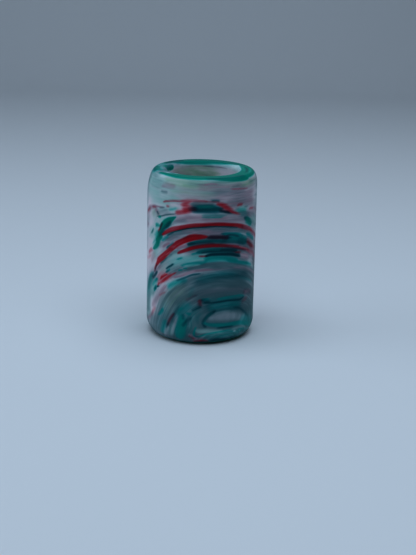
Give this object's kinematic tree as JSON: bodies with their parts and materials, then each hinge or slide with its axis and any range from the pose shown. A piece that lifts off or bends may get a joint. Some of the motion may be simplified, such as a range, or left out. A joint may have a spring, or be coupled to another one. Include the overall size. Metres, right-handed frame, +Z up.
{
  "type": "dreadlock bead",
  "caption": "Tube-shaped dreadlock bead of marbled clay, with rounded ends and a round bore right through for a lock of hair.",
  "frame": {"origin": "centre of the base, on the bore's axis", "axes": "+Z up the bore to the top end, -Y towards the side that the picture shows, +X to its right"},
  "size_m": [0.0125, 0.0124, 0.0193],
  "materials": {
    "clay": "baked polymer clay, buffed to a satin, marbled in green, red, white and lilac grey"
  },
  "bodies": {
    "root": {"bead": "clay"}
  },
  "joints": []
}
